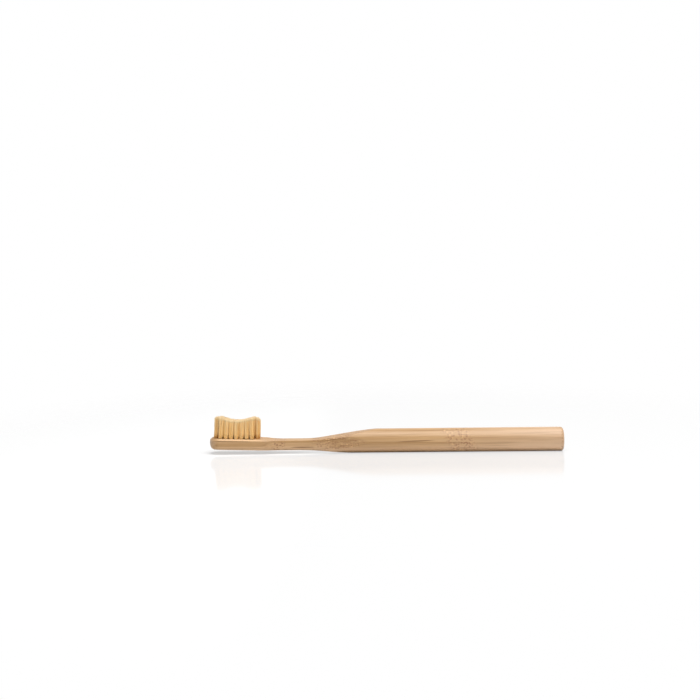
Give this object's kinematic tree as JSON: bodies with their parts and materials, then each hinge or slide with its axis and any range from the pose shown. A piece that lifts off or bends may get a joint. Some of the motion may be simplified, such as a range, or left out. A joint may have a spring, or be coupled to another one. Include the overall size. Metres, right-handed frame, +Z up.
{
  "type": "manual toothbrush",
  "caption": "Manual toothbrush with a bamboo handle, round grip, slim flat neck and head, and a wavy field of nylon tufts, each folded over a metal anchor in a blind hole.",
  "frame": {"origin": "on the surface that the brush lies on, midway between the tip of the head and the butt, under the handle's middle line", "axes": "+X along the handle from the head to the butt, +Z up, the way the bristles point, +Y across the handle"},
  "size_m": [0.1799, 0.0124, 0.019],
  "materials": {
    "bamboo": "sanded satin",
    "nylon_bristle": "fine drawn filament, slightly glossy",
    "anchor_metal": "rolled strip"
  },
  "bodies": {
    "root": {"handle": "bamboo", "tuft_anchors": "anchor_metal", "tuft_row_1_column_2": "nylon_bristle", "tuft_row_1_column_3": "nylon_bristle", "tuft_row_1_column_4": "nylon_bristle", "tuft_row_1_column_5": "nylon_bristle", "tuft_row_1_column_6": "nylon_bristle", "tuft_row_1_column_7": "nylon_bristle", "tuft_row_1_column_8": "nylon_bristle", "tuft_row_2_column_1": "nylon_bristle", "tuft_row_2_column_2": "nylon_bristle", "tuft_row_2_column_3": "nylon_bristle", "tuft_row_2_column_4": "nylon_bristle", "tuft_row_2_column_5": "nylon_bristle", "tuft_row_2_column_6": "nylon_bristle", "tuft_row_2_column_7": "nylon_bristle", "tuft_row_2_column_8": "nylon_bristle", "tuft_row_2_column_9": "nylon_bristle", "tuft_row_3_column_1": "nylon_bristle", "tuft_row_3_column_2": "nylon_bristle", "tuft_row_3_column_3": "nylon_bristle", "tuft_row_3_column_4": "nylon_bristle", "tuft_row_3_column_5": "nylon_bristle", "tuft_row_3_column_6": "nylon_bristle", "tuft_row_3_column_7": "nylon_bristle", "tuft_row_3_column_8": "nylon_bristle", "tuft_row_3_column_9": "nylon_bristle", "tuft_row_4_column_2": "nylon_bristle", "tuft_row_4_column_3": "nylon_bristle", "tuft_row_4_column_4": "nylon_bristle", "tuft_row_4_column_5": "nylon_bristle", "tuft_row_4_column_6": "nylon_bristle", "tuft_row_4_column_7": "nylon_bristle", "tuft_row_4_column_8": "nylon_bristle"}
  },
  "joints": []
}
